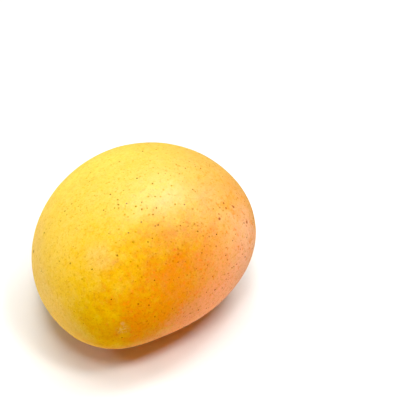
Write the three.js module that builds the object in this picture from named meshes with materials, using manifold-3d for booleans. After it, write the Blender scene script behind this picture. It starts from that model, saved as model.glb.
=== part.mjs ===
// A ripe mango lying on its cheek: one solid, in millimetres, +Z up.
// The fruit's own axes: +X runs from the tip to the stem end, -Y is the belly, where the beak sits,
// and +Z is the upper cheek. The origin is under the middle of the fruit, on the surface it lies on.
import * as THREE from "three";
import { mergeVertices } from "three/addons/utils/BufferGeometryUtils.js";
import Module from "manifold-3d";

// Driving dimensions
const LENGTH = 110; // tip to stem end
const WIDTH = 94; // belly to back
const THICKNESS = 83.4; // cheek to cheek
const TAPER = 0.035; // how much fuller the stem half is, as a share of the girth
const BLUNTNESS = 0.15; // how much both ends are filled out
const CHEEK_CORNER = 0.12; // how much the cheeks are filled out towards the rim
const BELLY_BOW = 5.4; // how far both ends bow towards the belly

// How the fruit lies: its lowest point is under its centre of mass
const REST_PITCH = THREE.MathUtils.degToRad(-2.26); // about Y, dips the tip
const REST_ROLL = THREE.MathUtils.degToRad(2.11); // about X, lifts the back
const FLAT_SPOT_DEPTH = 0.7; // how much of the lower cheek is pressed flat

// The stem end: a shallow basin with the stump of the stalk in it
const BASIN_DEPTH = 3.4;
const BASIN_SPREAD = 0.16; // in radians from the stalk
const STUMP_RADIUS = 3.3;
const STUMP_EDGE = 1.2; // how wide the stump's rounded edge is
const STUMP_HEIGHT = 1.9;

// The two slopes that lead from the cheeks down to the beak. Each hollow lies in the direction
// "at" from the middle of the fruit.
const SLOPE_HOLLOWS = [
  { at: [-0.67, -1, 0.83], depth: 3.8, spread: 0.38 },
  { at: [-0.67, -1, -0.83], depth: 3.8, spread: 0.38 },
];

// The beak and the crease behind it cross the belly rim. Each is an arc round the tip: "fromTip" is
// its angle from the tip, "across" and "along" are how far it spreads, all in radians.
const BEAK = { fromTip: 0.44, across: 0.1, along: 0.22, lift: 0.7 };
const CREASE = { fromTip: 0.577, across: 0.04, along: 0.19, lift: -0.6 };

// The mesh: rings of points from the stalk to the tip, closest together at both ends
const POINTS_AROUND = 64;
const RINGS = 72;
const CROWDING = 0.6;

const skin = new THREE.MeshStandardMaterial({ color: 0xf6b53a, roughness: 0.5, metalness: 0 });

// One at the middle of a swell or a hollow, and nothing far away from it.
function fade(away, spread) {
  return Math.exp(-((away / spread) ** 2) / 2);
}

function hollowLift({ at, depth, spread }, direction) {
  const middle = new THREE.Vector3(...at).normalize();
  return -depth * fade(direction.distanceTo(middle), spread);
}

function rimLift({ fromTip, across, along, lift }, direction) {
  if (direction.y >= 0) return 0;
  const angle = Math.acos(THREE.MathUtils.clamp(-direction.x, -1, 1));
  return lift * fade(angle - fromTip, across) * fade(direction.z, along);
}

// How far the stem end lifts the skin: down into the basin, and up again on the stump.
function stemEndLift(direction) {
  if (direction.x <= 0) return 0;
  const fromStalk = Math.hypot(direction.y, direction.z);
  const basin = -BASIN_DEPTH * fade(fromStalk, BASIN_SPREAD);
  const radius = (fromStalk * WIDTH * (1 + TAPER + BLUNTNESS)) / 2;
  const stump = 1 - THREE.MathUtils.smoothstep(radius, STUMP_RADIUS - STUMP_EDGE, STUMP_RADIUS);
  return basin + STUMP_HEIGHT * stump;
}

// The point of the skin in a unit direction of the fruit's own axes.
function skinPoint(direction) {
  const { x, y, z } = direction;
  const girth = 1 + TAPER * x + BLUNTNESS * x * x + CHEEK_CORNER * y * y * z * z;
  const point = new THREE.Vector3(
    (LENGTH / 2) * x,
    (WIDTH / 2) * y * girth - BELLY_BOW * x * x,
    (THICKNESS / 2) * z * girth,
  );
  const slopes = SLOPE_HOLLOWS.reduce((sum, hollow) => sum + hollowLift(hollow, direction), 0);
  const lift = slopes + rimLift(BEAK, direction) + rimLift(CREASE, direction) + stemEndLift(direction);
  return point.addScaledVector(direction, lift);
}

// Joins the points that share a place, so that the surface is closed.
function closed(geometry) {
  geometry.deleteAttribute("normal");
  geometry.deleteAttribute("uv");
  return mergeVertices(geometry);
}

// Turns a point of a round ball, whose poles are on Y, into a direction of the fruit. The stalk is at
// one pole and the tip at the other, and the rings move closer to both.
function fruitDirection(ballPoint) {
  const polar = Math.acos(THREE.MathUtils.clamp(ballPoint.y, -1, 1));
  const around = Math.atan2(ballPoint.z, ballPoint.x);
  const crowded = polar - (CROWDING / 2) * Math.sin(2 * polar);
  const reach = Math.sin(crowded);
  return new THREE.Vector3(Math.cos(crowded), reach * Math.sin(around), reach * Math.cos(around));
}

function fruitGeometry() {
  const ball = closed(new THREE.SphereGeometry(1, POINTS_AROUND, RINGS));
  const positions = ball.getAttribute("position");
  const ballPoint = new THREE.Vector3();
  for (let i = 0; i < positions.count; i++) {
    ballPoint.fromBufferAttribute(positions, i);
    positions.setXYZ(i, ...skinPoint(fruitDirection(ballPoint)));
  }
  return ball;
}

// Lays the fruit on its cheek, centred over the origin, with its lowest point under z = 0.
function layDown(geometry) {
  geometry.rotateX(REST_ROLL).rotateY(REST_PITCH);
  geometry.computeBoundingBox();
  const { min, max } = geometry.boundingBox;
  return geometry.translate(-(min.x + max.x) / 2, -(min.y + max.y) / 2, -min.z - FLAT_SPOT_DEPTH);
}

const wasm = await Module();
wasm.setup();

function toSolid(geometry) {
  return new wasm.Manifold(
    new wasm.Mesh({
      numProp: 3,
      vertProperties: new Float32Array(geometry.getAttribute("position").array),
      triVerts: new Uint32Array(geometry.index.array),
    }),
  );
}

function toGeometry(solid) {
  const { vertProperties, triVerts } = solid.getMesh();
  return new THREE.BufferGeometry()
    .setAttribute("position", new THREE.BufferAttribute(vertProperties, 3))
    .setIndex(new THREE.BufferAttribute(triVerts, 1));
}

// What the surface under the fruit takes away: a block with its top at z = 0.
function surfaceBlock() {
  const height = 4 * FLAT_SPOT_DEPTH;
  return closed(new THREE.BoxGeometry(LENGTH, LENGTH, height).translate(0, 0, -height / 2));
}

function mangoMesh() {
  const fruit = toSolid(layDown(fruitGeometry()));
  const mesh = new THREE.Mesh(toGeometry(fruit.subtract(toSolid(surfaceBlock()))), skin);
  mesh.name = "mango";
  return mesh;
}

const fruit = new THREE.Group();
fruit.add(mangoMesh());

export default fruit;
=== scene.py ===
"""A ripe mango lying on its cheek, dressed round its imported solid.

Metres, +Z up. The fruit's own axes: +X runs from the tip to the stem end, -Y is the belly, where the
beak sits, and +Z is the upper cheek.
"""

import math

import bpy
from mathutils import Matrix, Vector


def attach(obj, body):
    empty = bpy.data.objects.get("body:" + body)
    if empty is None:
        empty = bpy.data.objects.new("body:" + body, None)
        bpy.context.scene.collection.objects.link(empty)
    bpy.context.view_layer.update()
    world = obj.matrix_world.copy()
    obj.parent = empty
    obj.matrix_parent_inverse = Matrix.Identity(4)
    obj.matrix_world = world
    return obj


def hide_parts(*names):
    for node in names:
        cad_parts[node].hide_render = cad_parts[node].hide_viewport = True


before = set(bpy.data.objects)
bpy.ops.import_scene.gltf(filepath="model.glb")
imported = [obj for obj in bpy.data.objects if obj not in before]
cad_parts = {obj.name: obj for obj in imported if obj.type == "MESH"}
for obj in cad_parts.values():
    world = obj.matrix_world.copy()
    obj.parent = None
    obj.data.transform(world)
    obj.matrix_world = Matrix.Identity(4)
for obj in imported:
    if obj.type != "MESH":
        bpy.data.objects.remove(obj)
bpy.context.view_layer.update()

# Driving dimensions, the same as the solid's
LENGTH = 0.110
WIDTH = 0.094
THICKNESS = 0.0834
TAPER = 0.035
BLUNTNESS = 0.15
CHEEK_CORNER = 0.12
BELLY_BOW = 0.0054
SLOPES = ((-0.67, -1, 0.83), (-0.67, -1, -0.83))
SLOPE_DEPTH = 0.0038
SLOPE_SPREAD = 0.38
BEAK_ANGLE, BEAK_ACROSS, BEAK_ALONG, BEAK_LIFT = 0.44, 0.1, 0.22, 0.0007
CREASE_ANGLE, CREASE_ACROSS, CREASE_ALONG, CREASE_DEPTH = 0.577, 0.04, 0.19, 0.0006
BASIN_DEPTH = 0.0034
BASIN_SPREAD = 0.16
STUMP_RADIUS = 0.0033
STUMP_EDGE = 0.0012
STUMP_HEIGHT = 0.0019
REST_PITCH = math.radians(-2.26)
REST_ROLL = math.radians(2.11)
FLAT_SPOT_DEPTH = 0.0007

# The skin's mesh: its fineness, and how closely its rings crowd at both ends
POINTS_AROUND = 320
RINGS = 300
CROWDING = 0.6

# Skin detail. A speck's height and how far it sinks in are shares of its radius
UNEVENNESS = 0.00016
SPECK_GAP = 0.0014
SPECKS_PER_SQUARE_METRE = 155000
SPECK_RADIUS = 0.00068
SPECK_HEIGHT = 0.05
SPECK_SINK = 0.01
SPECK_SEED = 11
BUMP_DEPTH = 0.0001

# The side of the fruit that turns orange, and the end of it that blushes pink
SUNNY_SIDE = Vector((-0.274, -0.962, 0.013)).normalized()
BLUSHED_END = Vector((0.751, 0.104, -0.652)).normalized()

# The skin's colours from the shaded side to the sunny side, away from the blush and inside it
RIPE_COLOURS = (
    (0.08, (0.95, 0.695, 0.110)),
    (0.16, (0.92, 0.650, 0.100)),
    (0.23, (0.86, 0.590, 0.095)),
    (0.32, (0.76, 0.520, 0.082)),
    (0.40, (0.70, 0.480, 0.070)),
    (0.55, (0.665, 0.452, 0.063)),
    (0.65, (0.65, 0.410, 0.026)),
    (0.725, (0.635, 0.390, 0.012)),
    (0.80, (0.62, 0.340, 0.003)),
    (0.85, (0.605, 0.298, 0.002)),
    (0.90, (0.59, 0.250, 0.001)),
    (0.94, (0.595, 0.205, 0.001)),
    (1.00, (0.61, 0.185, 0.003)),
)
BLUSH_COLOURS = (
    (0.28, (0.79, 0.510, 0.075)),
    (0.48, (0.72, 0.415, 0.085)),
    (0.65, (0.66, 0.325, 0.080)),
    (0.72, (0.71, 0.335, 0.095)),
    (0.80, (0.80, 0.400, 0.185)),
    (0.86, (0.80, 0.370, 0.175)),
    (0.925, (0.82, 0.350, 0.152)),
    (1.00, (0.875, 0.335, 0.140)),
)
UNDER_COLOUR = (0.90, 0.19, 0.002, 1)
UNDER_BACK_COLOUR = (0.80, 0.46, 0.08, 1)
# What is left of the skin's colour in a speck, from the darkest speck to the faintest: olive on the
# yellow side of the fruit and russet on its warm side
OLIVE_SPECKS = (
    (0.0, (0.06, 0.05, 0.03)),
    (0.12, (0.42, 0.39, 0.28)),
    (0.35, (0.70, 0.68, 0.58)),
    (1.0, (0.93, 0.91, 0.86)),
)
RUSSET_SPECKS = (
    (0.0, (0.06, 0.03, 0.02)),
    (0.12, (0.44, 0.31, 0.26)),
    (0.35, (0.72, 0.57, 0.52)),
    (1.0, (0.92, 0.80, 0.78)),
)
OLIVE_LARGE_SPECK = (0.2, 0.13, 0.06, 1)
RUSSET_LARGE_SPECK = (0.46, 0.12, 0.02, 1)
SPECK_HALO = (0.66, 0.115, 0.012, 1)
STALK_COLOURS = (
    (0.30, (0.055, 0.026, 0.011)),
    (0.50, (0.19, 0.105, 0.045)),
    (0.70, (0.36, 0.24, 0.12)),
)
BLOTCH_COLOUR = (0.74, 0.28, 0.02, 1)
MOTTLE_COLOUR = (0.60, 0.27, 0.004, 1)
FRECKLE_COLOUR = (0.72, 0.16, 0.008, 1)
BASIN_COLOUR = (0.50, 0.50, 0.07, 1)
SAP_COLOUR = (0.12, 0.055, 0.015, 1)
SCUFF_COLOUR = (0.72, 0.55, 0.28, 1)
SCAR_COLOUR = (0.70, 0.50, 0.20, 1)

# How far each of these covers the skin under it
BLOTCH_COVER = 0.55
MOTTLE_COVER = 0.4
FRECKLE_COVER = 0.5
BASIN_COVER = 0.45
SAP_COVER = 0.75
SCUFF_COVER = 0.24
SCAR_COVER = 0.24
HALO_COVER = 0.6
LARGE_SPECK_COVER = 0.9

# How much of its red, green and blue a pore takes from the skin
PORE_DEPTHS = (0.12, 0.16, 0.4)
# How much blue each paler area adds to the skin: the painted haze round the highlight, the painted
# second highlight, the painted reflections on the low flank and the stem-end rim, and the rosy low
# end; and how much blue the painted shade takes from the low front
HIGHLIGHT_HAZE_BLUE = 0.042
SECOND_HIGHLIGHT_BLUE = 0.085
LOW_FLANK_REFLECTION_BLUE = 0.045
STEMWARD_SHEEN_BLUE = 0.045
ROSY_LOW_BLUE = 0.026
FRONT_SHADE_BLUE = 0.014
# How much green the painted second highlight adds, how much painted light lightens the lower flank,
# and the lightest skin
SECOND_HIGHLIGHT_GREEN = 0.035
PAINTED_FLANK_LIGHT = 0.13
BRIGHTEST_SKIN = (0.97, 0.97, 0.97)

# The clouds of noise: lumps per metre, detail, roughness and offset
BROAD_CLOUDS = (28, 1.0, 0.5, 7.28)
PATCHES = (110, 5.0, 0.75, 2.88)
FLECKS = (330, 4.0, 0.8, 6.6)
DRIFT = (60, 5.0, 0.75, 5.72)
BLOTCHES = (180, 2.0, 0.5, 12.86)
MOTTLES = (420, 5.0, 0.85, 3.7)
FRECKLES = (520, 1.0, 0.5, 2.2)
PORES = (760, 1.0, 0.5, 1.9)
GRAIN = (1300, 3.0, 0.9, 4.4)
BLOOM = (280, 4.0, 0.75, 5.1)
SCAR_EDGE = (900, 2.0, 0.6, 7.3)
SAP_EDGE = (1500, 2.0, 0.6, 3.3)
WOOD_GRAIN = (2400, 4.0, 0.7, 8.8)
WAX = (160, 3.0, 0.6, 6.2)
FINE_BUMPS = (1300, 2.0, 0.5, 9.4)
SOFT_BUMPS = (330, 2.0, 0.5, 1.2)
SPECK_CLUSTERS = (75, 2.0, 0.5, 12.1)
# The same over the round ball of directions, so in lumps per unit
WAVES = (3.2, 1.0, 0.5, 4.0)

# The scuff beside the beak, the scar just below it, and a painted second highlight, a faint pale
# patch on the yellow side. Each fades out between the two radii
SCUFF_PLACE = Vector((-0.0444, -0.0309, 0.0438))
SCUFF_RADII = (0.0017, 0.0004)
SCAR_PLACE = SCUFF_PLACE - Vector((0.0003, 0.0001, 0.0035))
SCAR_RADII = (0.0042, 0.001)
SECOND_HIGHLIGHT_PLACE = Vector((-0.0383, -0.0121, 0.0689))
SECOND_HIGHLIGHT_RADII = (0.0105, 0.002)
# The largest specks: the measured place of each on the skin, and its radius
LARGE_SPECKS = (
    ((0.0164, -0.0361, 0.0677), 0.0010),
    ((0.0322, -0.0394, 0.0564), 0.0012),
    ((0.0282, -0.0346, 0.0658), 0.0010),
    ((0.0239, -0.0323, 0.0697), 0.0007),
    ((0.0059, -0.0243, 0.0768), 0.0006),
    ((-0.0117, -0.0223, 0.0751), 0.0006),
    ((-0.0151, -0.0170, 0.0767), 0.0006),
    ((-0.0225, -0.0159, 0.0749), 0.0006),
    ((-0.0129, -0.0064, 0.0802), 0.0006),
    ((-0.0216, -0.0003, 0.0787), 0.0006),
    ((-0.0135, 0.0029, 0.0807), 0.0006),
    ((-0.0417, 0.0269, 0.0511), 0.0013),
)

# Where the camera stands: over the beak side, looking down
CAMERA_AZIMUTH = math.radians(-50)
CAMERA_ELEVATION = math.radians(42)
CAMERA_DISTANCE = 0.75
LENS = 143.64
SENSOR = 36.0
NEAREST_SEEN = 0.01
FRUIT_MIDDLE = Vector((0, 0, 0.0408))
SIDE_STEP = 0.0294
RISE = 0.0214

FLOOR_SIZE = 0.9
FLOOR_COLOUR = (0.82, 0.82, 0.82, 1)

# The studio: name, direction (right, away, up), distance, size, brightness and tint of each lamp, and
# what it reaches of the skin: its colour, its gloss or both
COLOUR, GLOSS, BOTH = (True, False), (False, True), (True, True)
WHITE = (1, 1, 1)
HONEY = (1, 0.86, 0.25)
LAMPS = (
    ("window", (0.36, 0.10, 0.93), 0.9, 0.22, 12.6, WHITE, COLOUR),
    ("gleam", (0.23, 0.29, 0.93), 0.9, 0.5, 61.0, WHITE, GLOSS),
    ("top_softbox", (0, 0, 1), 0.9, 0.5, 7.2, WHITE, COLOUR),
    ("front_softbox", (0, -0.47, 0.88), 1.0, 0.18, 33.0, WHITE, COLOUR),
    ("right_softbox", (0.33, -0.33, 0.88), 1.0, 0.18, 35.8, WHITE, COLOUR),
    ("back_panel", (0, 0.81, 0.59), 1.0, 0.6, 0.75, WHITE, BOTH),
    ("left_panel", (-0.83, 0, 0.56), 1.0, 0.22, 9.9, WHITE, COLOUR),
    ("low_left_fill", (-1, 0.1, 0.04), 0.9, 0.3, 7.1, HONEY, COLOUR),
    ("low_front_fill", (-0.35, -0.93, 0.04), 0.9, 0.3, 5.0, HONEY, COLOUR),
    ("low_right_fill", (0.97, -0.2, 0.04), 0.9, 0.3, 6.0, HONEY, COLOUR),
)
SURROUND_BRIGHTNESS = 0.015
SURROUND_TINT = (1, 0.6, 0.15)


class Term:
    """A socket in a formula: arithmetic on it adds Math nodes."""

    def __init__(self, tree, socket):
        self.tree = tree
        self.socket = socket

    def math(self, operation, *others):
        inputs = dict(enumerate((self, *others)))
        return put(self.tree, "ShaderNodeMath", {"operation": operation}, inputs)

    def __add__(self, other):
        return self.math("ADD", other)

    __radd__ = __add__

    def __sub__(self, other):
        return self.math("SUBTRACT", other)

    def __rsub__(self, other):
        return self * -1 + other

    def __mul__(self, other):
        return self.math("MULTIPLY", other)

    __rmul__ = __mul__

    def __truediv__(self, other):
        return self.math("DIVIDE", other)

    def __pow__(self, other):
        return self.math("POWER", other)

    def vector(self, operation, other=None, out="Vector"):
        inputs = {0: self} if other is None else {0: self, 1: other}
        return put(self.tree, "ShaderNodeVectorMath", {"operation": operation}, inputs, out)

    def beside(self, name):
        """Another output of the same node."""
        return Term(self.tree, self.socket.node.outputs[name])

    def scaled(self, factor):
        return put(self.tree, "ShaderNodeVectorMath", {"operation": "SCALE"}, {0: self, "Scale": factor})


def put(tree, kind, settings=None, inputs=None, out=0):
    """Adds a node of that kind and gives the named output as a term."""
    node = tree.nodes.new(kind)
    for name, value in (settings or {}).items():
        if name == "stops":
            set_stops(node.color_ramp, value)
        else:
            setattr(node, name, value)
    usable = [socket for socket in node.inputs if socket.enabled]
    for key, value in (inputs or {}).items():
        socket = usable[key] if isinstance(key, int) else next(s for s in usable if s.name == key)
        if isinstance(value, Term):
            tree.links.new(value.socket, socket)
        else:
            socket.default_value = value
    given = [socket for socket in node.outputs if socket.enabled]
    if not given:
        return None
    return Term(tree, given[out] if isinstance(out, int) else next(s for s in given if s.name == out))


def set_stops(ramp, stops):
    while len(ramp.elements) < len(stops):
        ramp.elements.new(1.0)
    for element, (place, colour) in zip(ramp.elements, stops):
        element.position = place
        element.color = (*colour, 1.0)


def smooth(term, low, high):
    """0 below low, 1 above high, and a soft step between them. It falls where low is above high."""
    settings = {"interpolation_type": "SMOOTHSTEP"}
    limits = {"Value": term, "From Min": min(low, high), "From Max": max(low, high)}
    step = put(term.tree, "ShaderNodeMapRange", settings, limits)
    return step if low < high else 1 - step


def fade(away, spread):
    """One at the middle of a swell or a hollow, and nothing far away from it."""
    ratio = away / spread
    return (ratio * ratio * -0.5).math("EXPONENT")


def split(vector):
    parts = ("X", "Y", "Z")
    node = vector.tree.nodes.new("ShaderNodeSeparateXYZ")
    vector.tree.links.new(vector.socket, node.inputs[0])
    return [Term(vector.tree, node.outputs[part]) for part in parts]


def joined(tree, x, y, z):
    return put(tree, "ShaderNodeCombineXYZ", None, {"X": x, "Y": y, "Z": z})


def mixed(tree, factor, a, b):
    return put(tree, "ShaderNodeMix", {"data_type": "RGBA"}, {"Factor": factor, "A": a, "B": b})


def noise(tree, where, scale, detail, roughness, offset):
    """Cloudy noise from 0 to 1, with its lumps about 1/scale apart."""
    moved = where.vector("ADD", (offset, offset * 0.7, offset * 1.3))
    inputs = {"Vector": moved, "Scale": scale, "Detail": detail, "Roughness": roughness}
    return put(tree, "ShaderNodeTexNoise", None, inputs)


def distance(where, place):
    return where.vector("DISTANCE", tuple(place), "Value")


def from_axis(y, z):
    """How far a direction leans away from the line through the stalk and the tip."""
    return (y * y + z * z).math("SQRT")


# --- the fruit's form -------------------------------------------------------------------------


def new_form(name, sizes):
    """An empty geometry tree with a mesh input and those named sizes, and the terms for them."""
    tree = bpy.data.node_groups.new(name, "GeometryNodeTree")
    tree.interface.new_socket("Mesh", in_out="INPUT", socket_type="NodeSocketGeometry")
    tree.interface.new_socket("Mesh", in_out="OUTPUT", socket_type="NodeSocketGeometry")
    for size, (kind, _) in sizes.items():
        tree.interface.new_socket(size, in_out="INPUT", socket_type=kind)
    entry = tree.nodes.new("NodeGroupInput")
    return tree, {socket.name: Term(tree, socket) for socket in entry.outputs if socket.name}


def close_form(tree, mesh):
    leave = tree.nodes.new("NodeGroupOutput")
    tree.links.new(mesh.socket, leave.inputs[0])


def grow(name, tree, sizes, base=None):
    """Runs a geometry tree with those sizes and keeps the result as a plain mesh object."""
    piece = bpy.data.objects.new(name, base or bpy.data.meshes.new(name))
    bpy.context.scene.collection.objects.link(piece)
    modifier = piece.modifiers.new(name, "NODES")
    modifier.node_group = tree
    for item in tree.interface.items_tree:
        if item.in_out == "INPUT" and item.name in sizes:
            modifier[item.identifier] = sizes[item.name][1]
    bpy.context.view_layer.update()
    depsgraph = bpy.context.evaluated_depsgraph_get()
    mesh = bpy.data.meshes.new_from_object(piece.evaluated_get(depsgraph))
    mesh.name = name
    piece.modifiers.clear()
    piece.data = mesh
    return piece


FLOAT, WHOLE, MATERIAL = "NodeSocketFloat", "NodeSocketInt", "NodeSocketMaterial"


def fruit_sizes(material):
    return {
        "Length": (FLOAT, LENGTH),
        "Width": (FLOAT, WIDTH),
        "Thickness": (FLOAT, THICKNESS),
        "Taper": (FLOAT, TAPER),
        "Bluntness": (FLOAT, BLUNTNESS),
        "Cheek Corner": (FLOAT, CHEEK_CORNER),
        "Belly Bow": (FLOAT, BELLY_BOW),
        "Slope Depth": (FLOAT, SLOPE_DEPTH),
        "Beak Lift": (FLOAT, BEAK_LIFT),
        "Crease Depth": (FLOAT, CREASE_DEPTH),
        "Basin Depth": (FLOAT, BASIN_DEPTH),
        "Stump Radius": (FLOAT, STUMP_RADIUS),
        "Stump Height": (FLOAT, STUMP_HEIGHT),
        "Unevenness": (FLOAT, UNEVENNESS),
        "Flat Spot Depth": (FLOAT, FLAT_SPOT_DEPTH),
        "Points Around": (WHOLE, POINTS_AROUND),
        "Rings": (WHOLE, RINGS),
        "Skin": (MATERIAL, material),
    }


def fruit_direction(tree):
    """The direction of the fruit that each point of a round ball stands for, its poles crowded."""
    x, y, z = split(put(tree, "GeometryNodeInputPosition"))
    polar = z.math("MINIMUM", 1.0).math("MAXIMUM", -1.0).math("ARCCOSINE")
    around = y.math("ARCTAN2", x)
    crowded = polar - (polar * 2).math("SINE") * (CROWDING / 2)
    reach = crowded.math("SINE")
    across, over = reach * around.math("COSINE"), reach * around.math("SINE")
    return joined(tree, crowded.math("COSINE"), across, over)


def slope_lift(direction, size):
    """The two hollows that lead from the cheeks down to the beak."""
    lift = 0
    for slope in SLOPES:
        middle = Vector(slope).normalized()
        lift = fade(distance(direction, middle), SLOPE_SPREAD) * size["Slope Depth"] * -1 + lift
    return lift


def rim_lift(x, y, z, size):
    """The beak and the crease behind it, which cross the belly rim in an arc round the tip."""
    angle = (x * -1).math("MINIMUM", 1.0).math("MAXIMUM", -1.0).math("ARCCOSINE")
    belly = y.math("LESS_THAN", 0.0)
    beak = fade(angle - BEAK_ANGLE, BEAK_ACROSS) * fade(z, BEAK_ALONG) * size["Beak Lift"]
    crease = fade(angle - CREASE_ANGLE, CREASE_ACROSS) * fade(z, CREASE_ALONG) * size["Crease Depth"]
    return (beak - crease) * belly


def stem_lift(x, y, z, size):
    """The basin at the stem end and the stump of the stalk in it."""
    from_stalk = from_axis(y, z)
    stem_half = x.math("GREATER_THAN", 0.0)
    basin = fade(from_stalk, BASIN_SPREAD) * size["Basin Depth"] * -1
    radius = from_stalk * size["Width"] * ((1 + TAPER + BLUNTNESS) / 2)
    ratio = radius / size["Stump Radius"]
    stump = smooth(ratio, 1.0, 1 - STUMP_EDGE / STUMP_RADIUS) * size["Stump Height"]
    return (basin + stump) * stem_half


def form_tree(material):
    """The skin as one formula: a ball of directions pushed out to a mango and laid on its cheek."""
    tree, size = new_form("mango form", fruit_sizes(material))
    counts = {"Segments": size["Points Around"], "Rings": size["Rings"], "Radius": 1.0}
    ball = put(tree, "GeometryNodeMeshUVSphere", None, counts, "Mesh")
    direction = fruit_direction(tree)
    x, y, z = split(direction)
    girth = 1 + size["Taper"] * x + size["Bluntness"] * x * x + size["Cheek Corner"] * y * y * z * z
    body = joined(
        tree,
        size["Length"] * 0.5 * x,
        size["Width"] * 0.5 * y * girth - size["Belly Bow"] * x * x,
        size["Thickness"] * 0.5 * z * girth,
    )
    stem = stem_lift(x, y, z, size)
    waves = (noise(tree, direction, *WAVES) - 0.5) * 2 * size["Unevenness"]
    lift = slope_lift(direction, size) + rim_lift(x, y, z, size) + stem + waves
    place = body.vector("ADD", direction.scaled(lift))
    ball = stored(tree, ball, "fruit_direction", "FLOAT_VECTOR", direction)
    ball = put(tree, "GeometryNodeSetPosition", None, {"Geometry": ball, "Position": place})
    fruit = laid_down(tree, ball, size)
    fruit = put(tree, "GeometryNodeSetShadeSmooth", None, {"Geometry": fruit})
    fruit = put(tree, "GeometryNodeSetMaterial", None, {"Geometry": fruit, "Material": size["Skin"]})
    close_form(tree, put(tree, "GeometryNodeRealizeInstances", None, {"Geometry": fruit}))
    return tree


def stored(tree, mesh, name, kind, value, domain="POINT"):
    settings = {"data_type": kind, "domain": domain}
    inputs = {"Geometry": mesh, "Name": name, "Value": value}
    return put(tree, "GeometryNodeStoreNamedAttribute", settings, inputs)


def laid_down(tree, mesh, size):
    """Turns the fruit to its rest, centres it over the origin and presses its lowest point flat."""
    turn = Matrix.Rotation(REST_PITCH, 3, "Y") @ Matrix.Rotation(REST_ROLL, 3, "X")
    inputs = {"Geometry": mesh, "Rotation": tuple(turn.to_euler())}
    turned = put(tree, "GeometryNodeTransform", None, inputs)
    box = tree.nodes.new("GeometryNodeBoundBox")
    tree.links.new(turned.socket, box.inputs[0])
    low, high = Term(tree, box.outputs["Min"]), Term(tree, box.outputs["Max"])
    middle_x, middle_y, _ = split(low.vector("ADD", high))
    bottom = split(low)[2]
    shift = joined(tree, middle_x * -0.5, middle_y * -0.5, (bottom + size["Flat Spot Depth"]) * -1)
    centred = put(tree, "GeometryNodeTransform", None, {"Geometry": turned, "Translation": shift})
    x, y, z = split(put(tree, "GeometryNodeInputPosition"))
    pressed = joined(tree, x, y, z.math("MAXIMUM", 0.0))
    return put(tree, "GeometryNodeSetPosition", None, {"Geometry": centred, "Position": pressed})


# --- the specks -------------------------------------------------------------------------------


def speck_sizes(material):
    return {
        "Gap": (FLOAT, SPECK_GAP),
        "Most Per Area": (FLOAT, SPECKS_PER_SQUARE_METRE),
        "Radius": (FLOAT, SPECK_RADIUS),
        "Seed": (WHOLE, SPECK_SEED),
        "Cork": (MATERIAL, material),
    }


def speck_shape(tree):
    """A shallow closed button of unit radius, and how near each of its points is to the middle."""
    counts = {"Segments": 8, "Rings": 4, "Radius": 1.0}
    button = put(tree, "GeometryNodeMeshUVSphere", None, counts, "Mesh")
    x, y, _ = split(put(tree, "GeometryNodeInputPosition"))
    button = stored(tree, button, "core", "FLOAT", 1 - (x * x + y * y).math("SQRT"))
    x, y, z = split(put(tree, "GeometryNodeInputPosition"))
    flat = joined(tree, x, y, z * SPECK_HEIGHT - SPECK_SINK)
    return put(tree, "GeometryNodeSetPosition", None, {"Geometry": button, "Position": flat})


def specks_tree(material):
    """Corky specks strewn over the skin in loose clusters. There are fewer towards the tip and on the
    back, and none on the stump or where the fruit rests."""
    tree, size = new_form("mango specks", speck_sizes(material))
    named = {"data_type": "FLOAT_VECTOR"}
    direction = put(tree, "GeometryNodeInputNamedAttribute", named, {"Name": "fruit_direction"})
    x, y, z = split(direction)
    where = put(tree, "GeometryNodeInputPosition")
    clusters = smooth(noise(tree, where, *SPECK_CLUSTERS), 0.38, 0.62)
    stump = smooth(from_axis(y, z), 0.24, 0.12) * x.math("GREATER_THAN", 0.0)
    above_rest = smooth(split(where)[2], 0.0005, 0.002)
    tipward = 0.35 + 0.65 * smooth(x, -0.95, -0.2)
    bellyward = 0.5 + 0.5 * smooth(y, 0.3, -0.1)
    thick = (0.2 + 0.8 * clusters) * tipward * bellyward * (1 - stump) * above_rest
    spread = {
        "Mesh": size["Mesh"],
        "Distance Min": size["Gap"],
        "Density Max": size["Most Per Area"],
        "Density Factor": thick,
        "Seed": size["Seed"],
    }
    points = put(tree, "GeometryNodeDistributePointsOnFaces", {"distribute_method": "POISSON"}, spread)
    chance = put(tree, "FunctionNodeRandomValue", {"data_type": "FLOAT"}, {"Seed": size["Seed"] + 1})
    radius = size["Radius"] * (0.5 + 0.5 * chance ** 1.8)
    placing = {
        "Points": points,
        "Instance": speck_shape(tree),
        "Rotation": points.beside("Rotation"),
        "Scale": joined(tree, radius, radius, radius),
    }
    specks = put(tree, "GeometryNodeInstanceOnPoints", None, placing)
    tone = put(tree, "FunctionNodeRandomValue", {"data_type": "FLOAT"}, {"Seed": size["Seed"] + 2})
    specks = stored(tree, specks, "tone", "FLOAT", tone, "INSTANCE")
    specks = put(tree, "GeometryNodeRealizeInstances", None, {"Geometry": specks})
    specks = put(tree, "GeometryNodeSetShadeSmooth", None, {"Geometry": specks})
    specks = put(tree, "GeometryNodeSetMaterial", None, {"Geometry": specks, "Material": size["Cork"]})
    close_form(tree, specks)
    return tree


# --- finishes ---------------------------------------------------------------------------------


def new_material(name):
    material = bpy.data.materials.new(name)
    material.use_nodes = True
    tree = material.node_tree
    tree.nodes.clear()
    return material, tree


def ramp(tree, place, stops):
    return put(tree, "ShaderNodeValToRGB", {"stops": stops}, {"Fac": place}, "Color")


def finish_with(tree, inputs):
    """Ends a material in a Principled shader with those inputs."""
    shader = put(tree, "ShaderNodeBsdfPrincipled", None, inputs)
    put(tree, "ShaderNodeOutputMaterial", None, {"Surface": shader})


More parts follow.
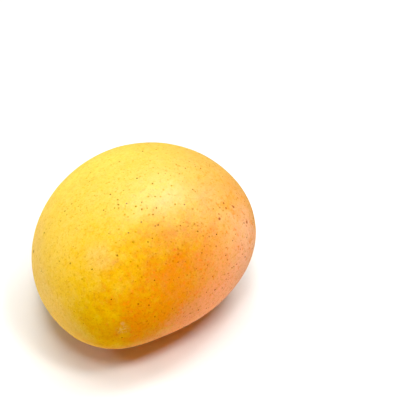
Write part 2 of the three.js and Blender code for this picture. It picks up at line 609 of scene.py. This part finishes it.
def ripened(tree, where, sunny, stemward, blushed):
    """Yellow to orange, and pink where it is blushed, broken up by patches, flecks and blotches."""
    broad = noise(tree, where, *BROAD_CLOUDS) - 0.5
    patches = noise(tree, where, *PATCHES) - 0.5
    flecks = noise(tree, where, *FLECKS) - 0.5
    warm = smooth(sunny, 0.05, 0.6)
    ripeness = sunny + broad * 0.15 + patches * (0.4 + warm * 0.5) + flecks * (0.2 + warm * 0.4)
    ripe = ramp(tree, (ripeness + 1) * 0.5, RIPE_COLOURS)
    calm = sunny + broad * 0.15 + patches * 0.35 + flecks * 0.2
    blush = ramp(tree, (calm + 1) * 0.5, BLUSH_COLOURS)
    turning = smooth(stemward, -0.5, -0.1) * smooth(sunny, 0.1, 0.4) * smooth(sunny, 0.8, 0.62)
    blotches = smooth(noise(tree, where, *BLOTCHES), 0.53, 0.66) * turning
    return mixed(tree, blotches * BLOTCH_COVER, mixed(tree, blushed, ripe, blush), BLOTCH_COLOUR)


def skin_colour(tree, where):
    """Yellow on the shaded side, orange on the sunny side and pink towards the stem end, with paler
    areas that are mostly painted light: a haze round the highlight, a second highlight, rim
    reflections and a lightened lower flank. It also gives how blushed and how warm each spot is,
    and the low front, which has painted shade and less gloss."""
    towards = where.vector("SUBTRACT", tuple(FRUIT_MIDDLE)).vector("NORMALIZE")
    sunny = towards.vector("DOT_PRODUCT", tuple(SUNNY_SIDE), "Value")
    stemward = towards.vector("DOT_PRODUCT", tuple(BLUSHED_END), "Value")
    up = split(towards)[2]
    drift = noise(tree, where, *DRIFT) - 0.5
    blushed = smooth(stemward + drift * 0.4, -0.66, 0.28)
    warmth = smooth(sunny + stemward * 0.3, 0.05, 0.75)
    skin = ripened(tree, where, sunny, stemward, blushed)

    # Painted highlight: a pale blue haze spread over the top of the fruit round the highlight
    highlight_haze = smooth(up, 0.5, 0.75) * smooth(sunny, 0.2, 0.45) * smooth(stemward, -0.95, -0.6)
    # Painted highlight: a faint second highlight, a pale patch on the yellow side
    second_highlight = smooth(distance(where, SECOND_HIGHLIGHT_PLACE), *SECOND_HIGHLIGHT_RADII) * (0.6 + drift)
    # Painted reflection: extra blue on the rim of the low flank, where the white surroundings reflect
    low_flank = smooth(up + sunny * 0.6, 0.38, 0.15)
    low_flank_reflection = low_flank * smooth(sunny, 0.7, 0.45) * smooth(sunny, -0.55, -0.3)
    # Painted sheen: extra blue on the rim towards the stem end
    stemward_sheen = smooth(stemward, -0.1, 0.25) * smooth(sunny, 0.4, 0.55)
    rosy_low = smooth(stemward + drift * 0.25, -0.54, -0.3) * smooth(up, 0.2, -0.05)
    pale = highlight_haze * HIGHLIGHT_HAZE_BLUE + second_highlight * SECOND_HIGHLIGHT_BLUE + low_flank_reflection * LOW_FLANK_REFLECTION_BLUE
    pale = pale + stemward_sheen * STEMWARD_SHEEN_BLUE + rosy_low * (1 - stemward_sheen) * ROSY_LOW_BLUE
    # Painted shade: less blue on the low front, darkening the floor's reflection there; the same mask
    # also thins the coat
    dull_shaded_front = smooth(up, 0.4, 0.1) * (1 - blushed) * smooth(sunny, 0.35, 0.6) * (1 - rosy_low)
    added = joined(tree, 0, second_highlight * SECOND_HIGHLIGHT_GREEN, pale - dull_shaded_front * FRONT_SHADE_BLUE)
    # Painted light: the lower flank on the yellow side made lighter
    painted_light_flank = smooth(up, 0.6, 0.0) * smooth(sunny, 0.5, 0.2)
    skin = skin.vector("ADD", added).scaled(1 + painted_light_flank * PAINTED_FLANK_LIGHT)
    skin = skin.vector("MINIMUM", BRIGHTEST_SKIN)

    below = smooth(up + drift * 0.3, -0.4, -0.8)
    under = mixed(tree, smooth(sunny, -0.6, 0.2), UNDER_BACK_COLOUR, UNDER_COLOUR)
    return mixed(tree, below, skin, under), blushed, warmth, dull_shaded_front


def large_specks(where):
    """One in the middle of each of the largest specks, and nothing between them."""
    dark = 0
    for place, radius in LARGE_SPECKS:
        dark = smooth(distance(where, place), radius, radius * 0.3) + dark
    return dark


def weathered(tree, colour, where, warmth):
    """Adds golden mottles, the red freckles of the warm side, pores, the largest specks, the grain of
    the skin, its pale bloom, and the marks beside the beak."""
    mottles = smooth(noise(tree, where, *MOTTLES), 0.40, 0.74)
    colour = mixed(tree, mottles * MOTTLE_COVER, colour, MOTTLE_COLOUR)
    freckles = smooth(noise(tree, where, *FRECKLES), 0.62, 0.70) * warmth
    colour = mixed(tree, freckles * FRECKLE_COVER, colour, FRECKLE_COLOUR)
    pores = smooth(noise(tree, where, *PORES), 0.58, 0.70)
    colour = colour.vector("MULTIPLY", joined(tree, *(1 - pores * depth for depth in PORE_DEPTHS)))
    shade = mixed(tree, smooth(warmth, 0.3, 0.8), OLIVE_LARGE_SPECK, RUSSET_LARGE_SPECK)
    speck = colour.vector("MULTIPLY", shade)
    colour = mixed(tree, large_specks(where) * LARGE_SPECK_COVER, colour, speck)
    grain = noise(tree, where, *GRAIN) - 0.5
    colour = colour.scaled(1.01 + grain * 0.46)
    bloom = noise(tree, where, *BLOOM) - 0.5
    colour = colour.vector("ADD", joined(tree, 0, bloom * 0.03, bloom * 0.085 + grain * 0.04))
    return beak_marks(tree, colour.vector("MAXIMUM", (0, 0, 0)), where)


def beak_marks(tree, colour, where):
    """The pale scuff beside the beak and the ragged scar below it."""
    scuff = smooth(distance(where, SCUFF_PLACE), *SCUFF_RADII)
    colour = mixed(tree, scuff * SCUFF_COVER, colour, SCUFF_COLOUR)
    ragged = smooth(noise(tree, where, *SCAR_EDGE), 0.4, 0.6)
    scar = smooth(distance(where, SCAR_PLACE), *SCAR_RADII) * ragged
    return mixed(tree, scar * SCAR_COVER, colour, SCAR_COLOUR)


def stem_end(tree, colour, where):
    """Adds the woody stump, the dark ring of dried sap round it and the greener basin, and gives
    where the stump is."""
    direction = put(tree, "ShaderNodeAttribute", {"attribute_name": "fruit_direction"}, None, "Vector")
    x, y, z = split(direction)
    from_stalk = from_axis(y, z)
    stem_half = x.math("GREATER_THAN", 0.0)
    green = smooth(from_stalk, 0.30, 0.07) * stem_half
    colour = mixed(tree, green * BASIN_COVER, colour, BASIN_COLOUR)
    ratio = from_stalk * (WIDTH * (1 + TAPER + BLUNTNESS) / 2 / STUMP_RADIUS)
    ragged = ratio + (noise(tree, where, *SAP_EDGE) - 0.5) * 0.35
    sap = smooth(ragged, 1.5, 1.08) * stem_half
    colour = mixed(tree, sap * SAP_COVER, colour, SAP_COLOUR)
    wood = ramp(tree, noise(tree, where, *WOOD_GRAIN), STALK_COLOURS)
    stump = smooth(ragged, 1.02, 0.9) * stem_half
    return mixed(tree, stump, colour, wood), stump


def mango_skin():
    """Waxy skin whose gloss comes from a thin coat alone, thinner on the stump and on the low front."""
    material, tree = new_material("mango skin")
    where = put(tree, "ShaderNodeTexCoord", None, None, "Object")
    colour, _, warmth, dull_shaded_front = skin_colour(tree, where)
    colour, stump = stem_end(tree, weathered(tree, colour, where, warmth), where)
    waxy = noise(tree, where, *WAX)
    height = noise(tree, where, *FINE_BUMPS) * 0.35 + noise(tree, where, *SOFT_BUMPS)
    bumps = {"Strength": 0.5, "Distance": BUMP_DEPTH, "Height": height}
    finish = {
        "Base Color": colour,
        "Roughness": 0.32 + waxy * 0.2 + stump * 0.35,
        "Specular IOR Level": 0.0,
        "Coat Weight": (0.08 + waxy * 0.14) * (1 - stump * 0.8) * (1 - dull_shaded_front * 0.9),
        "Coat Roughness": 0.42,
        "Subsurface Weight": 0.1,
        "Subsurface Radius": (1.0, 0.45, 0.12),
        "Subsurface Scale": 0.003,
        "Normal": put(tree, "ShaderNodeBump", None, bumps),
    }
    finish_with(tree, finish)
    return material


def speck_finish():
    """The skin's own colour at a speck's rim, a red halo on the blushed side and a darker middle."""
    material, tree = new_material("mango specks")
    where = put(tree, "ShaderNodeTexCoord", None, None, "Object")
    skin, blushed, warmth, _ = skin_colour(tree, where)
    skin = weathered(tree, skin, where, warmth)
    core = put(tree, "ShaderNodeAttribute", {"attribute_name": "core"}, None, "Fac")
    tone = put(tree, "ShaderNodeAttribute", {"attribute_name": "tone"}, None, "Fac")
    reddened = smooth(core, 0.05, 0.45) * smooth(tone, 0.5, 0.2) * smooth(blushed, 0.35, 0.6)
    halo = mixed(tree, reddened * HALO_COVER, skin, SPECK_HALO)
    shade = mixed(tree, warmth, ramp(tree, tone, OLIVE_SPECKS), ramp(tree, tone, RUSSET_SPECKS))
    colour = mixed(tree, smooth(core, 0.2, 0.5), halo, halo.vector("MULTIPLY", shade))
    finish_with(tree, {"Base Color": colour, "Roughness": 0.6, "Specular IOR Level": 0.0})
    return material


def floor_finish():
    material, tree = new_material("pale floor")
    finish_with(tree, {"Base Color": FLOOR_COLOUR, "Roughness": 0.8, "Specular IOR Level": 0.0})
    return material


# --- studio -----------------------------------------------------------------------------------


def make_floor():
    mesh = bpy.data.meshes.new("floor")
    half = FLOOR_SIZE / 2
    corners = [(-half, -half, 0), (half, -half, 0), (half, half, 0), (-half, half, 0)]
    mesh.from_pydata(corners, [], [(0, 1, 2, 3)])
    mesh.materials.append(floor_finish())
    floor = bpy.data.objects.new("floor", mesh)
    bpy.context.scene.collection.objects.link(floor)


def make_world():
    """A dim warm glow all round, which the camera sees as white."""
    world = bpy.data.worlds.new("studio")
    world.use_nodes = True
    tree = world.node_tree
    tree.nodes.clear()
    seen = put(tree, "ShaderNodeLightPath", None, None, "Is Camera Ray")
    dim = tuple(part * SURROUND_BRIGHTNESS for part in SURROUND_TINT)
    colour = mixed(tree, seen, (*dim, 1), (1, 1, 1, 1))
    glow = put(tree, "ShaderNodeBackground", None, {"Color": colour, "Strength": 1.0})
    put(tree, "ShaderNodeOutputWorld", None, {"Surface": glow})
    bpy.context.scene.world = world


def make_lamp(name, direction, distance, size, brightness, tint, reach):
    """A square panel facing the fruit. The direction is seen from the camera: right, away and up."""
    light = bpy.data.lights.new(name, "AREA")
    light.shape = "SQUARE"
    light.size = size
    light.energy = math.pi * size * size * brightness
    light.color = tint
    lamp = bpy.data.objects.new(name, light)
    right = Vector((math.cos(CAMERA_AZIMUTH), math.sin(CAMERA_AZIMUTH), 0))
    away = Vector((-right.y, right.x, 0))
    towards = (right * direction[0] + away * direction[1] + Vector((0, 0, direction[2]))).normalized()
    lamp.location = FRUIT_MIDDLE + towards * distance
    lamp.rotation_euler = towards.to_track_quat("Z", "Y").to_euler()
    lamp.visible_camera = False
    lamp.visible_diffuse, lamp.visible_glossy = reach
    bpy.context.scene.collection.objects.link(lamp)


def make_camera():
    a, e = CAMERA_AZIMUTH, CAMERA_ELEVATION
    right = Vector((math.cos(a), math.sin(a), 0))
    back = Vector((math.sin(a) * math.cos(e), -math.cos(a) * math.cos(e), math.sin(e)))
    up = back.cross(right)
    lens = bpy.data.cameras.new("camera")
    lens.lens = LENS
    lens.sensor_width = SENSOR
    lens.clip_start = NEAREST_SEEN
    camera = bpy.data.objects.new("camera", lens)
    turn = Matrix((right, up, back)).transposed()
    place = FRUIT_MIDDLE + right * SIDE_STEP + up * RISE + back * CAMERA_DISTANCE
    camera.matrix_world = Matrix.Translation(place) @ turn.to_4x4()
    bpy.context.scene.collection.objects.link(camera)
    bpy.context.scene.camera = camera


def main():
    skin = mango_skin()
    fruit = grow("mango_skin", form_tree(skin), fruit_sizes(skin))
    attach(fruit, "root")
    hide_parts("mango")
    cork = speck_finish()
    specks = grow("mango_specks", specks_tree(cork), speck_sizes(cork), fruit.data.copy())
    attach(specks, "root")
    make_floor()
    make_world()
    for lamp in LAMPS:
        make_lamp(*lamp)
    make_camera()
    bpy.context.scene.view_settings.view_transform = "Standard"


main()
